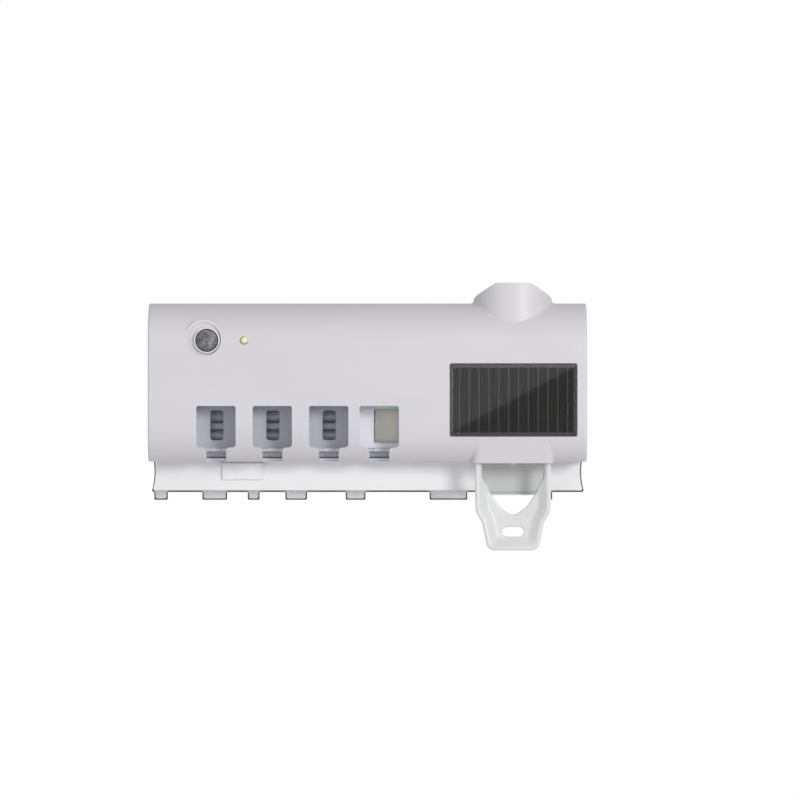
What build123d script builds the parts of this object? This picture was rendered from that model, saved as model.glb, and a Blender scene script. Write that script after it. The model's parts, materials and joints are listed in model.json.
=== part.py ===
"""Wall-hung ultraviolet toothbrush sanitizer with a built-in toothpaste dispenser.

The wall is the plane y = 0 and the sanitizer stands out of it towards -Y. +X is the
viewer's right and +Z is up. All lengths are millimetres. "Depth" is the distance out
from the wall, so a point at depth d lies at y = -d.
"""

import os
from math import asin, cos, degrees, radians, sin, sqrt, tan

from build123d import *

# ---------------------------------------------------------------- driving dimensions
BODY_W = 235.0  # casing, end to end
BODY_TOP = 42.5
BODY_BOTTOM = -42.5
WALL = 2.0  # moulded wall thickness

BACK_D = 4.0  # rear face of the casing
SPLIT_D = 22.0  # parting line between rear housing and front cover
FRONT_D = 53.0  # flat front face
SHOULDER_D = 28.0  # where the curved top shoulder starts
SHOULDER_Z = 19.5  # where it has become the flat front
CHIN_Z = -22.0  # where the front starts to curve back under
CHIN_ANGLE = 60.0
CHIN_R = (CHIN_Z - BODY_BOTTOM) / sin(radians(CHIN_ANGLE))

SKIRT_BOTTOM = -58.0  # apron below the cover, part of the rear housing
SKIRT_D = 20.2
SKIRT_TOP_HALF = 115.3
SKIRT_WAIST_HALF = 114.3
SKIRT_FOOT_HALF = 115.9

SLOT_X = [-81.0, -50.9, -20.7, 6.3]  # brush slots
SLOT_W = 21.0
SLOT_TOP = -12.6
SLOT_SHELF = -34.8
SLOT_NECK_W = 10.6
FASCIA_X = (-94.5, 19.5)  # the part of the front that holds the slots
FASCIA_TOP = -9.0

BAY_X = 78.0  # dispenser bay, tube socket and solar panel share this centre
SOCKET_D = 28.0  # also the pump's upright axis
SOCKET_R = 21.0
SOCKET_BORE_R = 19.2
SOCKET_FOOT_Z = 10.0
RIM_SIDE_Z = 44.4
RIM_TOP_Z = 53.5
RIM_TOP_HALF = 9.6
RIM_CORNER_R = 6.0
RIM_FILLET = 1.7  # blend between the socket rim and the casing
COLLAR_X = (BAY_X - 24.0, BAY_X + 24.0)  # the part of the front that carries the socket rim
COLLAR_FOOT = 12.5

HOOD_HALF = 21.9  # local chin over the dispenser
HOOD_BOTTOM = -43.3
HOOD_TURN = 20.0  # the hood leaves the chin arc at this angle and runs on straight
HOOD_CORNER_R, BAY_CORNER_R = 4.0, 2.6
BAY_HALF = 20.7

PANEL_X, PANEL_Z = 78.1, -9.4
PANEL_W = 67.7
PANEL_H = 38.6
PANEL_T = 2.0
POCKET_DEPTH = 2.3
POCKET_CLEAR = 0.35

PIR_X, PIR_Z = -85.9, 22.5
PIR_RECESS_X, PIR_RECESS_Z = -87.4, 23.1
PIR_RECESS_R = 9.0
PIR_RECESS_FLOOR = 50.4
BEZEL_R = 6.95
LENS_R = 6.2
LENS_DOME_R = 9.5
LED_X, LED_Z = -65.7, 22.6
LED_R = 1.8
LED_HOLE_X, LED_HOLE_Z, LED_HOLE_R = -66.1, 22.3, 2.3

SCREW_POSTS_TOP = [(-108.0, 34.0), (-26.0, 34.0), (47.0, 34.0), (109.0, 34.0)]
SCREW_POSTS_FOOT = [(-108.0, -34.0), (35.0, -34.0), (109.0, -34.0)]
SCREW_POSTS = SCREW_POSTS_TOP + SCREW_POSTS_FOOT
POST_R = 4.0
POST_BORE_R = 1.55
SCREW_R = 1.5
BOARD_POSTS = [(-99.5, 6.0), (-99.5, 31.0), (-46.0, 6.0), (-46.0, 29.0)]
RACK_POSTS = [(-98.5, -12.0), (26.0, -12.0)]
FRAME_POSTS = [(BAY_X - 25.0, -2.0), (BAY_X + 25.0, -2.0)]

BOARD_D = 38.0  # rear face of the control board
BOARD_T = 1.6
RACK_D = 31.0  # rear face of the brush rack

HOOK_X = [-66.0, 26.0]  # bracket hooks
HOOK_Z = 27.0
HOOK_HALF = 6.0
HOOK_T = 2.0
LIFT = 6.0  # how far the unit lifts to clear its hooks
BRACKET_T = 2.0
PAD_T = 1.0
TABS = [(-115.6, -108.3), (-89.6, -76.2), (-65.0, -58.6), (-44.7, -32.9)]  # bracket feet, left to right
TABS += [(-12.0, -1.3), (33.4, 53.8), (92.0, 99.8)]
TAB_BOTTOM = -63.4
WALL_SCREW_X = 37.5

FLAP_X = -67.2  # charging port flap on the apron
FLAP_W = 22.4
FLAP_POSTS = [(FLAP_X - 10.5, -49.0), (FLAP_X + 10.5, -49.0)]
FLAP_BOTTOM = -52.4
FLAP_AXIS_D, FLAP_AXIS_Z = 20.95, -43.9
PORT_W = 13.0
PORT_TOP, PORT_BOTTOM = -45.3, -51.5

CELL_X, CELL_Z, CELL_D = 5.0, 8.0, 17.2  # battery
CELL_R, CELL_L = 9.1, 65.0
DOOR_POST = (CELL_X - 38.2, CELL_Z - 1.0)
HOLDER_POSTS = [(CELL_X - 24.0, -7.0), (CELL_X + 24.0, -7.0)]
LAMP_Z = [-18.6, -28.4]  # the two legs of the lamp
LAMP_D, LAMP_R = 24.6, 3.2
LAMP_POSTS = [(-86.0, -11.5), (-6.0, -11.5)]
BASE_POST = (15.0, -37.0)
CLIP_POST = (-100.0, -23.5)
REFLECTOR_D = 18.0
INVERTER_POSTS = [(-70.0, -33.0), (-24.0, -17.0)]

PIVOT_D, PIVOT_Z = 40.0, -8.0  # lever hinge
PIN_R = 1.5
PUMP_Z = -24.0
PUMP_R = 10.5
LEVER_HALF = 20.3
LEVER_BACK, LEVER_FRONT = 38.0, 43.4
LEVER_FOOT = -90.0

os.makedirs("parts", exist_ok=True)


def facing(depth):
    """Plane parallel to the wall at that depth: local x is +X, local y is +Z, extrusion goes outwards."""
    return Plane.XZ.offset(depth)


def side(x):
    """Plane across the body at x: local x is depth, local y is +Z."""
    return Plane(origin=(x, 0, 0), x_dir=(0, -1, 0), z_dir=(-1, 0, 0))


def save(builder, label):
    """Labels a finished piece and writes it as parts/LABEL.step."""
    builder.part.label = label
    export_step(builder.part, f"parts/{label}.step")


def block(x_range, depth_range, z_range, mode=Mode.ADD):
    """A box between two x, two depths and two heights."""
    size = [abs(r[1] - r[0]) for r in (x_range, depth_range, z_range)]
    centre = (sum(x_range) / 2, -sum(depth_range) / 2, sum(z_range) / 2)
    with Locations(centre):
        Box(*size, mode=mode)


def drum(x, z, radius, depth_range, mode=Mode.ADD):
    """A round boss or hole whose axis points out of the wall."""
    with Locations(Location((x, -sum(depth_range) / 2, z), (90, 0, 0))):
        Cylinder(radius, abs(depth_range[1] - depth_range[0]), mode=mode)


def along_x(radius, x_range, depth, z, mode=Mode.ADD):
    """A round bar or bore whose axis runs along X."""
    with Locations(Location((sum(x_range) / 2, -depth, z), (0, 90, 0))):
        Cylinder(radius, abs(x_range[1] - x_range[0]), mode=mode)


def polygon(*points):
    """A closed flat outline through the points, to be added to a sketch."""
    with BuildSketch() as outline:
        with BuildLine():
            Polyline(*points, close=True)
        make_face()
    return outline.sketch_local


def screws(label, places, head_r, head_h, seat, shank_r, tip):
    """Cross-head screws whose heads bear on the seat depth and whose shanks run on to the tip depth."""
    out = 1 if tip > seat else -1
    crown = seat - out * head_h
    with BuildPart() as fasteners:
        for x, z in places:
            drum(x, z, head_r, (crown, seat))
            drum(x, z, shank_r, (seat - out * 0.2, tip))
        fillet(fasteners.faces().group_by(Axis.Y)[-1 if out > 0 else 0].edges(), head_h * 0.35)
        for x, z in places:
            cross = (crown - out * 0.1, crown + out * head_h * 0.55)
            block((x - head_r * 0.55, x + head_r * 0.55), cross, (z - 0.3, z + 0.3), Mode.SUBTRACT)
            block((x - 0.3, x + 0.3), cross, (z - head_r * 0.55, z + head_r * 0.55), Mode.SUBTRACT)
    save(fasteners, label)


def lead(label, radius, *points):
    """An insulated lead that runs through the points, each given as x, depth, z."""
    with BuildPart() as wire:
        with BuildLine() as route:
            FilletPolyline(*[(x, -d, z) for x, d, z in points], radius=1.6)
        with BuildSketch(Plane(route.line @ 0, z_dir=route.line % 0)):
            Circle(radius)
        sweep(path=route.line)
    save(wire, label)


def slot_outline(x):
    """Keyhole outline: a wide window over a narrower neck that is open at the foot."""
    wide, neck, foot = SLOT_W / 2, SLOT_NECK_W / 2, BODY_BOTTOM - 3
    with BuildSketch() as outline:
        add(
            polygon(
                (x - wide, SLOT_SHELF),
                (x - wide, SLOT_TOP),
                (x + wide, SLOT_TOP),
                (x + wide, SLOT_SHELF),
                (x + neck, SLOT_SHELF),
                (x + neck, foot),
                (x - neck, foot),
                (x - neck, SLOT_SHELF),
            )
        )
        fillet(outline.vertices().filter_by(lambda v: v.Y > SLOT_TOP - 1), 1.2)
        fillet(outline.vertices().filter_by(lambda v: abs(v.Y - SLOT_SHELF) < 0.5), 2.0)
    return outline.sketch_local


def cover_outline(inset=0.0):
    """Side outline of the front cover: flat top, elliptical shoulder, flat front, curved chin."""
    front, top, bottom = FRONT_D - inset, BODY_TOP - inset, BODY_BOTTOM + inset
    back = SPLIT_D - inset
    chin_r = CHIN_R - inset
    chin_angle = degrees(asin((CHIN_Z - bottom) / chin_r))
    chin_d = front - chin_r * (1 - cos(radians(chin_angle)))
    with BuildSketch() as outline:
        with BuildLine():
            Line((back, top), (SHOULDER_D, top))
            EllipticalCenterArc(
                (SHOULDER_D, SHOULDER_Z), front - SHOULDER_D, top - SHOULDER_Z, 0, arc_size=90
            )
            Line((front, SHOULDER_Z), (front, CHIN_Z))
            CenterArc((front - chin_r, CHIN_Z), chin_r, 0, arc_size=-chin_angle)
            Polyline((chin_d, bottom), (back, bottom), (back, top))
        make_face()
    return outline.sketch_local


def skirt_outline(grow):
    """Front outline of the apron, with waisted ends and flared feet, grown outwards by grow."""
    top, waist, foot = (h + grow for h in (SKIRT_TOP_HALF, SKIRT_WAIST_HALF, SKIRT_FOOT_HALF))
    upper, lower = BODY_BOTTOM + 3.0, SKIRT_BOTTOM - grow
    with BuildSketch() as outline:
        with BuildLine():
            ThreePointArc((top, upper), (waist, (upper + lower) / 2 - 1.0), (foot, lower))
            Line((foot, lower), (-foot, lower))
            ThreePointArc((-foot, lower), (-waist, (upper + lower) / 2 - 1.0), (-top, upper))
            Line((-top, upper), (top, upper))
        make_face()
        fillet(outline.vertices().sort_by(Axis.Y)[:2], 1.0)
    return outline.sketch_local


def hood_outline(inset=0.0):
    """Side outline of the dispenser hood, which leaves the chin early and hangs over the lever."""
    front = FRONT_D - inset
    radius = CHIN_R - inset
    turn = radians(HOOD_TURN)
    leave_d, leave_z = front - radius * (1 - cos(turn)), CHIN_Z - radius * sin(turn)
    lip_d = leave_d - (leave_z - HOOD_BOTTOM) * tan(turn)
    with BuildSketch() as outline:
        with BuildLine():
            CenterArc((front - radius, CHIN_Z), radius, 0, arc_size=-HOOD_TURN)
            lip = (lip_d, HOOD_BOTTOM)
            Polyline((leave_d, leave_z), lip, (30.0, HOOD_BOTTOM), (30.0, CHIN_Z), (front, CHIN_Z))
        make_face()
    return outline.sketch_local


def hood_block(half, inset, corner_r):
    """Solid with the hood's side outline and rounded front corners."""
    with BuildPart() as hood:
        with BuildSketch(side(BAY_X)):
            add(hood_outline(inset))
        extrude(amount=half, both=True)
        sides = hood.edges().filter_by(lambda e: abs(e.center().X - BAY_X) > half - 0.1)
        sides = sides.filter_by(lambda e: HOOD_BOTTOM + 0.1 < e.center().Z < CHIN_Z - 0.1)
        fillet(sides.filter_by(lambda e: e.center().Y < -31), corner_r)
    return hood.part


def socket_drum(z_low, z_high, radius, mode=Mode.ADD):
    """An upright round of the tube socket."""
    with Locations((BAY_X, -SOCKET_D, (z_low + z_high) / 2)):
        Cylinder(radius, z_high - z_low, mode=mode)


def rim_roots(builder):
    """The edges where the socket rim rises out of the casing."""

    def is_root(edge):
        middle = edge @ 0.5
        from_axis = sqrt((middle.X - BAY_X) ** 2 + (middle.Y + SOCKET_D) ** 2)
        return abs(from_axis - SOCKET_R) < 0.05 and 20.0 < middle.Z < BODY_TOP + 0.1

    return builder.edges().filter_by(is_root)


def collar_zone():
    """Room taken by the socket collar: the shoulder around its rim, and the ring below it."""
    with BuildPart() as zone:
        block(COLLAR_X, (SPLIT_D - 1.0, 60.0), (COLLAR_FOOT, 70.0))
        block(COLLAR_X, (SPLIT_D - 1.0, SOCKET_D + SOCKET_R + 0.1), (SOCKET_FOOT_Z - 1.0, COLLAR_FOOT + 1.0))
    return zone.part


def lever_outline():
    """Paddle outline seen from the front: straight cheeks, then a taper to a narrow foot."""
    half = [(LEVER_HALF, -40.0), (LEVER_HALF, -62.0), (19.9, -69.5), (16.6, -75.0), (13.6, LEVER_FOOT)]
    right = [(BAY_X + x, z) for x, z in half]
    left = [(BAY_X - x, z) for x, z in reversed(half)]
    with BuildSketch() as outline:
        add(polygon(*right, *left))
        fillet(outline.vertices().filter_by(lambda v: v.Y < LEVER_FOOT + 1), 4.5)
        fillet(outline.vertices().filter_by(lambda v: -76.0 < v.Y < -69.0), 5.0)
    return outline.sketch_local


# ---------------------------------------------------------------- front cover, brush fascia and tube collar
with BuildPart() as cover_shape:
    with BuildSketch(side(0)):
        add(cover_outline())
    extrude(amount=BODY_W / 2, both=True)
    end_edges = cover_shape.edges().filter_by(
        lambda e: abs(abs(e.center().X) - BODY_W / 2) < 0.01 and e.center().Y < -SPLIT_D - 0.1
    )
    fillet(end_edges, 1.1)

    # socket rim, blended into the shoulder
    socket_drum(30.0, RIM_TOP_Z, SOCKET_R)
    block((BAY_X - 40, BAY_X + 40), (0, SPLIT_D), (20, 70), Mode.SUBTRACT)
    fillet(rim_roots(cover_shape), RIM_FILLET)

    # dispenser hood
    add(hood_block(HOOD_HALF, 0.0, HOOD_CORNER_R))

    # hollow inside, open at the back
    with BuildSketch(side(0)):
        add(cover_outline(WALL))
    extrude(amount=BODY_W / 2 - WALL, both=True, mode=Mode.SUBTRACT)

    # dispenser bay under the hood
    add(hood_block(BAY_HALF, 1.6, BAY_CORNER_R), mode=Mode.SUBTRACT)
    block((BAY_X - BAY_HALF, BAY_X + BAY_HALF), (21.0, 44.0), (-46.0, -30.0), Mode.SUBTRACT)

    # tube socket, front part of the ring
    with BuildSketch(Plane.XY.offset(SOCKET_FOOT_Z)):
        with Locations((BAY_X, -SOCKET_D)):
            Circle(SOCKET_R)
        with Locations((BAY_X, 0)):
            Rectangle(3 * SOCKET_R, 2 * SPLIT_D, mode=Mode.SUBTRACT)
    extrude(amount=RIM_TOP_Z - SOCKET_FOOT_Z)
    socket_drum(SOCKET_FOOT_Z - 1, RIM_TOP_Z + 1, SOCKET_BORE_R, Mode.SUBTRACT)
    rim = [(30.0, RIM_SIDE_Z), (21.4, RIM_SIDE_Z), (19.3, 46.9), (RIM_TOP_HALF, RIM_TOP_Z - 0.1)]
    with BuildSketch(facing(SPLIT_D - 2)) as rim_cut:
        add(
            polygon(
                *[(BAY_X - x, z) for x, z in rim],
                *[(BAY_X + x, z) for x, z in reversed(rim)],
                (BAY_X + 30, RIM_TOP_Z + 5),
                (BAY_X - 30, RIM_TOP_Z + 5),
            )
        )
        fillet(rim_cut.vertices().filter_by(lambda v: RIM_SIDE_Z + 1 < v.Y < RIM_TOP_Z), RIM_CORNER_R)
    extrude(amount=40, mode=Mode.SUBTRACT)

    # backing for the solar pocket and the sensor recess
    block(
        (PANEL_X - PANEL_W / 2 - 2.5, PANEL_X + PANEL_W / 2 + 2.5),
        (FRONT_D - POCKET_DEPTH - 1.6, FRONT_D - POCKET_DEPTH + 0.3),
        (PANEL_Z - PANEL_H / 2 - 2.0, PANEL_Z + PANEL_H / 2 + 2.0),
    )
    drum(PIR_RECESS_X, PIR_RECESS_Z, PIR_RECESS_R + 1.6, (PIR_RECESS_FLOOR - 1.6, 51.5))

    # screw posts
    for post_x, post_z in SCREW_POSTS:
        drum(post_x, post_z, POST_R, (SPLIT_D + 2.0, 40.5 if post_z > 0 else 44.5))
    for post_x, post_z in BOARD_POSTS:
        drum(post_x, post_z, 2.2, (BOARD_D + BOARD_T, 47.9 if post_z > 20 else 51.5))
    for post_x, post_z in RACK_POSTS:
        drum(post_x, post_z, 2.6, (RACK_D + 1.5, 51.5))
    for post_x, post_z in FRAME_POSTS:
        drum(post_x, post_z, 3.0, (24.0, 50.5))

    # brush slots, lever opening, solar pocket and sensor recess
    with BuildSketch(facing(34.0)):
        for slot_x in SLOT_X:
            add(slot_outline(slot_x))
    extrude(amount=30, mode=Mode.SUBTRACT)
    with BuildSketch(facing(FRONT_D - POCKET_DEPTH)):
        with Locations((PANEL_X, PANEL_Z)):
            RectangleRounded(PANEL_W + 2 * POCKET_CLEAR, PANEL_H + 2 * POCKET_CLEAR, 1.2)
    extrude(amount=10, mode=Mode.SUBTRACT)
    block((BAY_X - 24, BAY_X - 12), (44.0, 52.0), (PANEL_Z - 6, PANEL_Z + 6), Mode.SUBTRACT)
    drum(PIR_RECESS_X, PIR_RECESS_Z, PIR_RECESS_R, (PIR_RECESS_FLOOR, 60.0), Mode.SUBTRACT)
    drum(PIR_X, PIR_Z, BEZEL_R + 0.05, (40.0, 60.0), Mode.SUBTRACT)
    drum(LED_HOLE_X, LED_HOLE_Z, LED_HOLE_R, (40.0, 60.0), Mode.SUBTRACT)
    for post_x, post_z in SCREW_POSTS:
        drum(post_x, post_z, POST_BORE_R, (SPLIT_D, SPLIT_D + 13.0), Mode.SUBTRACT)
    for post_x, post_z in BOARD_POSTS:
        drum(post_x, post_z, 0.85, (BOARD_D, BOARD_D + 7.0), Mode.SUBTRACT)
    for post_x, post_z in RACK_POSTS:
        drum(post_x, post_z, 1.05, (RACK_D, RACK_D + 9.0), Mode.SUBTRACT)
    for post_x, post_z in FRAME_POSTS:
        drum(post_x, post_z, 1.25, (20.0, 32.0), Mode.SUBTRACT)

# the slotted lower front and the socket collar are mouldings of their own, welded flush into the cover
with BuildPart() as front_cover:
    add(cover_shape.part)
    block(FASCIA_X, (30.0, 60.0), (-50.0, FASCIA_TOP), Mode.SUBTRACT)
    add(collar_zone(), mode=Mode.SUBTRACT)
save(front_cover, "front_cover")

with BuildPart() as tube_collar:
    add(cover_shape.part)
    add(collar_zone(), mode=Mode.INTERSECT)
save(tube_collar, "tube_collar")

with BuildPart() as brush_fascia:
    add(cover_shape.part)
    block(FASCIA_X, (30.0, 60.0), (-50.0, FASCIA_TOP), Mode.INTERSECT)
save(brush_fascia, "brush_fascia")

# ---------------------------------------------------------------- rear housing
with BuildPart() as rear_housing:
    block((-BODY_W / 2, BODY_W / 2), (BACK_D, SPLIT_D), (BODY_BOTTOM, BODY_TOP))
    fillet(rear_housing.edges().filter_by(Axis.Y), 1.1)
    socket_drum(30.0, RIM_SIDE_Z, SOCKET_R)
    block((BAY_X - 40, BAY_X + 40), (SPLIT_D, 80), (20, 70), Mode.SUBTRACT)
    fillet(rim_roots(rear_housing), RIM_FILLET)
    with BuildSketch(facing(BACK_D)):
        add(skirt_outline(0.0))
    extrude(amount=SKIRT_D - BACK_D)

    # hollow inside, open at the front; the skirt is closed in front by its apron
    block(
        (WALL - BODY_W / 2, BODY_W / 2 - WALL),
        (BACK_D + WALL, SPLIT_D + 1),
        (BODY_BOTTOM + WALL, BODY_TOP - WALL),
        Mode.SUBTRACT,
    )
    block(
        (WALL + 0.4 - SKIRT_WAIST_HALF, SKIRT_WAIST_HALF - WALL - 0.4),
        (BACK_D + WALL, SKIRT_D - WALL),
        (SKIRT_BOTTOM + WALL, BODY_BOTTOM + WALL + 1),
        Mode.SUBTRACT,
    )

    # rear part of the tube socket
    with BuildSketch(Plane.XY.offset(SOCKET_FOOT_Z)):
        with Locations((BAY_X, -SOCKET_D)):
            Circle(SOCKET_R)
        with Locations((BAY_X, -SPLIT_D - 20)):
            Rectangle(3 * SOCKET_R, 40, mode=Mode.SUBTRACT)
    extrude(amount=RIM_SIDE_Z - SOCKET_FOOT_Z)
    socket_drum(SOCKET_FOOT_Z - 1, RIM_TOP_Z, SOCKET_BORE_R, Mode.SUBTRACT)

    # screw towers, with deep counterbores from behind
    for post_x, post_z in SCREW_POSTS:
        drum(post_x, post_z, POST_R, (BACK_D + 1, SPLIT_D + 1.9))
    for post_x, post_z in SCREW_POSTS:
        drum(post_x, post_z, 3.0, (BACK_D - 1, 15.0), Mode.SUBTRACT)
        drum(post_x, post_z, SCREW_R + 0.15, (10.0, 30.0), Mode.SUBTRACT)

    # windows that drop over the bracket's hooks
    for hook_x in HOOK_X:
        block(
            (hook_x - HOOK_HALF - 0.6, hook_x + HOOK_HALF + 0.6),
            (BACK_D - 1, BACK_D + WALL + 1),
            (HOOK_Z - LIFT - 1.2, HOOK_Z + HOOK_T + 0.05),
            Mode.SUBTRACT,
        )

    # battery bay window with a ledge for its door
    door_ledge = (BACK_D - 1, BACK_D + 1.2)
    block((CELL_X - 41, CELL_X + 41), door_ledge, (CELL_Z - 12.6, CELL_Z + 10.4), Mode.SUBTRACT)
    block((CELL_X - 33.5, CELL_X + 33.5), (BACK_D, 8.0), (CELL_Z - 9.6, CELL_Z + 9.6), Mode.SUBTRACT)
    drum(*DOOR_POST, 2.0, (BACK_D + 1.2, 11.0))
    drum(*DOOR_POST, 0.85, (BACK_D, 10.0), Mode.SUBTRACT)

    # charging port opening, flap ears and charge board posts
    block(
        (FLAP_X - PORT_W / 2, FLAP_X + PORT_W / 2),
        (SKIRT_D - WALL - 1, SKIRT_D + 1),
        (PORT_BOTTOM, PORT_TOP),
        Mode.SUBTRACT,
    )
    for ear_side in (-1, 1):
        ear = FLAP_X + ear_side * (FLAP_W / 2 + 0.75)
        block(
            (ear - 0.6, ear + 0.6),
            (SKIRT_D - 0.5, FLAP_AXIS_D + 0.75),
            (FLAP_AXIS_Z - 0.8, FLAP_AXIS_Z + 0.9),
        )
    with Locations(Location((FLAP_X, -FLAP_AXIS_D, FLAP_AXIS_Z), (0, 90, 0))):
        Cylinder(0.42, FLAP_W + 4, mode=Mode.SUBTRACT)
    for post_x, post_z in FLAP_POSTS:
        drum(post_x, post_z, 2.0, (BACK_D + 1, 9.0))
        drum(post_x, post_z, 0.85, (6.5, 9.5), Mode.SUBTRACT)

    # posts for the battery holder, lamp, reflector and inverter
    for post_x, post_z in HOLDER_POSTS + INVERTER_POSTS:
        drum(post_x, post_z, 2.2, (BACK_D + 1, 9.0))
        drum(post_x, post_z, 0.85, (6.5, 10.0), Mode.SUBTRACT)
    for post_x, post_z in LAMP_POSTS + [BASE_POST, CLIP_POST]:
        drum(post_x, post_z, 2.4, (BACK_D + 1, REFLECTOR_D))
        drum(post_x, post_z, 1.05, (10.0, REFLECTOR_D + 1), Mode.SUBTRACT)

    # apron tongue behind the lever
    with BuildSketch(facing(SKIRT_D - 4)):
        with Locations((BAY_X, SKIRT_BOTTOM)):
            RectangleRounded(28, 5.0, 2.0)
    extrude(amount=4)
save(rear_housing, "rear_housing")

# ---------------------------------------------------------------- splash plate behind the lever
with BuildPart() as splash_plate:
    with BuildSketch(facing(SKIRT_D)) as splash_face:
        add(
            polygon(
                (BAY_X - 19.0, -43.2),
                (BAY_X + 19.0, -43.2),
                (BAY_X + 18.4, -52.0),
                (BAY_X + 13.4, -60.6),
                (BAY_X - 13.4, -60.6),
                (BAY_X - 18.4, -52.0),
            )
        )
        fillet(splash_face.vertices().filter_by(lambda v: v.Y < -59.0), 2.4)
        fillet(splash_face.vertices().filter_by(lambda v: -55.0 < v.Y < -50.0), 5.0)
    extrude(amount=1.8)
    with BuildSketch(facing(SKIRT_D + 1.8)):
        add(offset(splash_face.sketch_local, -1.0))
    extrude(amount=-1.1, taper=40, mode=Mode.SUBTRACT)
save(splash_plate, "splash_plate")

# ---------------------------------------------------------------- wall bracket and its pads
with BuildPart() as wall_bracket:
    with BuildSketch(facing(PAD_T)) as bracket_sketch:
        add(skirt_outline(1.2))
        with Locations((0, -4.0)):
            RectangleRounded(2 * 109.0, 84.0, 6.0)
        for tab_left, tab_right in TABS:
            with Locations(((tab_left + tab_right) / 2, (SKIRT_BOTTOM + TAB_BOTTOM) / 2)):
                Rectangle(tab_right - tab_left, SKIRT_BOTTOM - TAB_BOTTOM)
        fillet(bracket_sketch.vertices().filter_by(lambda v: v.Y < TAB_BOTTOM + 0.1), 0.8)
        with Locations((-WALL_SCREW_X, 0), (WALL_SCREW_X, 0)):
            Circle(2.2, mode=Mode.SUBTRACT)
    extrude(amount=BRACKET_T)
    for hook_x in HOOK_X:
        sides = (hook_x - HOOK_HALF, hook_x + HOOK_HALF)
        block(sides, (PAD_T + BRACKET_T - 0.5, 8.4), (HOOK_Z, HOOK_Z + HOOK_T))
        block(sides, (6.5, 8.4), (HOOK_Z, HOOK_Z + 6.0))
save(wall_bracket, "wall_bracket")

with BuildPart() as adhesive_pads:
    with BuildSketch(facing(0)):
        with Locations((-75, -3), (0, -3), (75, -3)):
            RectangleRounded(46, 68, 2.0)
    extrude(amount=PAD_T)
save(adhesive_pads, "adhesive_pads")

# ---------------------------------------------------------------- sensor, indicator and control board
with BuildPart() as sensor_bezel:
    drum(PIR_X, PIR_Z, BEZEL_R, (47.3, 52.6))
    fillet(sensor_bezel.faces().sort_by(Axis.Y)[0].edges(), 0.5)
    block((PIR_X - 8.6, PIR_X + 8.6), (47.3, PIR_RECESS_FLOOR - 1.6), (PIR_Z - 8.0, PIR_Z + 5.8))
    drum(PIR_X, PIR_Z, LENS_R + 0.03, (49.6, 54.0), Mode.SUBTRACT)
    drum(PIR_X, PIR_Z, 5.4, (47.0, 50.0), Mode.SUBTRACT)
save(sensor_bezel, "sensor_bezel")

with BuildPart() as sensor_lens:
    drum(PIR_X, PIR_Z, LENS_R, (49.6, 54.5))
    with Locations((PIR_X, LENS_DOME_R - 54.3, PIR_Z)):
        Sphere(LENS_DOME_R, mode=Mode.INTERSECT)
save(sensor_lens, "sensor_lens")

with BuildPart() as motion_sensor:
    drum(PIR_X, PIR_Z, 4.9, (41.6, 42.4))
    drum(PIR_X, PIR_Z, 4.15, (42.4, 46.0))
    fillet(motion_sensor.faces().sort_by(Axis.Y)[0].edges(), 0.5)
    block((PIR_X - 2, PIR_X + 2), (45.7, 46.1), (PIR_Z - 1.5, PIR_Z + 1.5), Mode.SUBTRACT)
    for leg_x, leg_z in ((0, 2.3), (2.0, -1.2), (-2.0, -1.2)):
        drum(PIR_X + leg_x, PIR_Z + leg_z, 0.3, (BOARD_D + BOARD_T, 41.8))
save(motion_sensor, "motion_sensor")

with BuildPart() as indicator_light:
    drum(LED_X, LED_Z, LED_R, (41.2, 52.7))
    fillet(indicator_light.faces().sort_by(Axis.Y)[0].edges(), 0.6)
    drum(LED_X, LED_Z, 3.1, (48.0, 49.8))
save(indicator_light, "indicator_light")

with BuildPart() as control_board:
    with BuildSketch(facing(BOARD_D)):
        with Locations((-72.7, 18.4)):
            RectangleRounded(62.0, 32.0, 2.0)
        with Locations(*BOARD_POSTS):
            Circle(1.05, mode=Mode.SUBTRACT)
    extrude(amount=BOARD_T)
save(control_board, "control_board")

with BuildPart() as control_chips:
    block((-64.0, -54.0), (BOARD_D - 1.6, BOARD_D), (12.0, 22.0))
    block((-82.0, -76.0), (BOARD_D - 1.4, BOARD_D), (10.0, 15.0))
    block((-92.0, -88.0), (BOARD_D - 3.0, BOARD_D), (26.0, 32.0))
    drum(-80.0, 25.0, 2.5, (BOARD_D - 7.0, BOARD_D))
    drum(-73.0, 25.0, 2.5, (BOARD_D - 7.0, BOARD_D))
    block((-67.3, -64.3), (BOARD_D + BOARD_T, 40.8), (21.0, 24.0))
    for pin in range(4):
        block((-56.0 + pin * 2.0, -55.2 + pin * 2.0), (BOARD_D - 6.0, BOARD_D), (5.6, 6.4))
    block((-57.0, -49.0), (BOARD_D - 5.0, BOARD_D), (7.0, 9.0))
save(control_chips, "control_chips")

# ---------------------------------------------------------------- solar panel
solar_size = (PANEL_W, PANEL_H)
pocket_floor = FRONT_D - POCKET_DEPTH
with BuildPart() as solar_board:
    with BuildSketch(facing(pocket_floor)):
        with Locations((PANEL_X, PANEL_Z)):
            RectangleRounded(*solar_size, 1.0)
    extrude(amount=0.8)
save(solar_board, "solar_board")

STRIP_PITCH = 5.26
STRIP_GAP = 0.3
strip_edges = [PANEL_X - 32.3] + [PANEL_X + (i - 5.5) * STRIP_PITCH for i in range(12)] + [PANEL_X + 32.3]
with BuildPart() as solar_cells:
    for strip_left, strip_right in zip(strip_edges, strip_edges[1:]):
        block(
            (strip_left + STRIP_GAP / 2, strip_right - STRIP_GAP / 2),
            (pocket_floor + 0.8, pocket_floor + 1.05),
            (PANEL_Z - PANEL_H / 2 + 2.0, PANEL_Z + PANEL_H / 2 - 2.0),
        )
save(solar_cells, "solar_cells")

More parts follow.
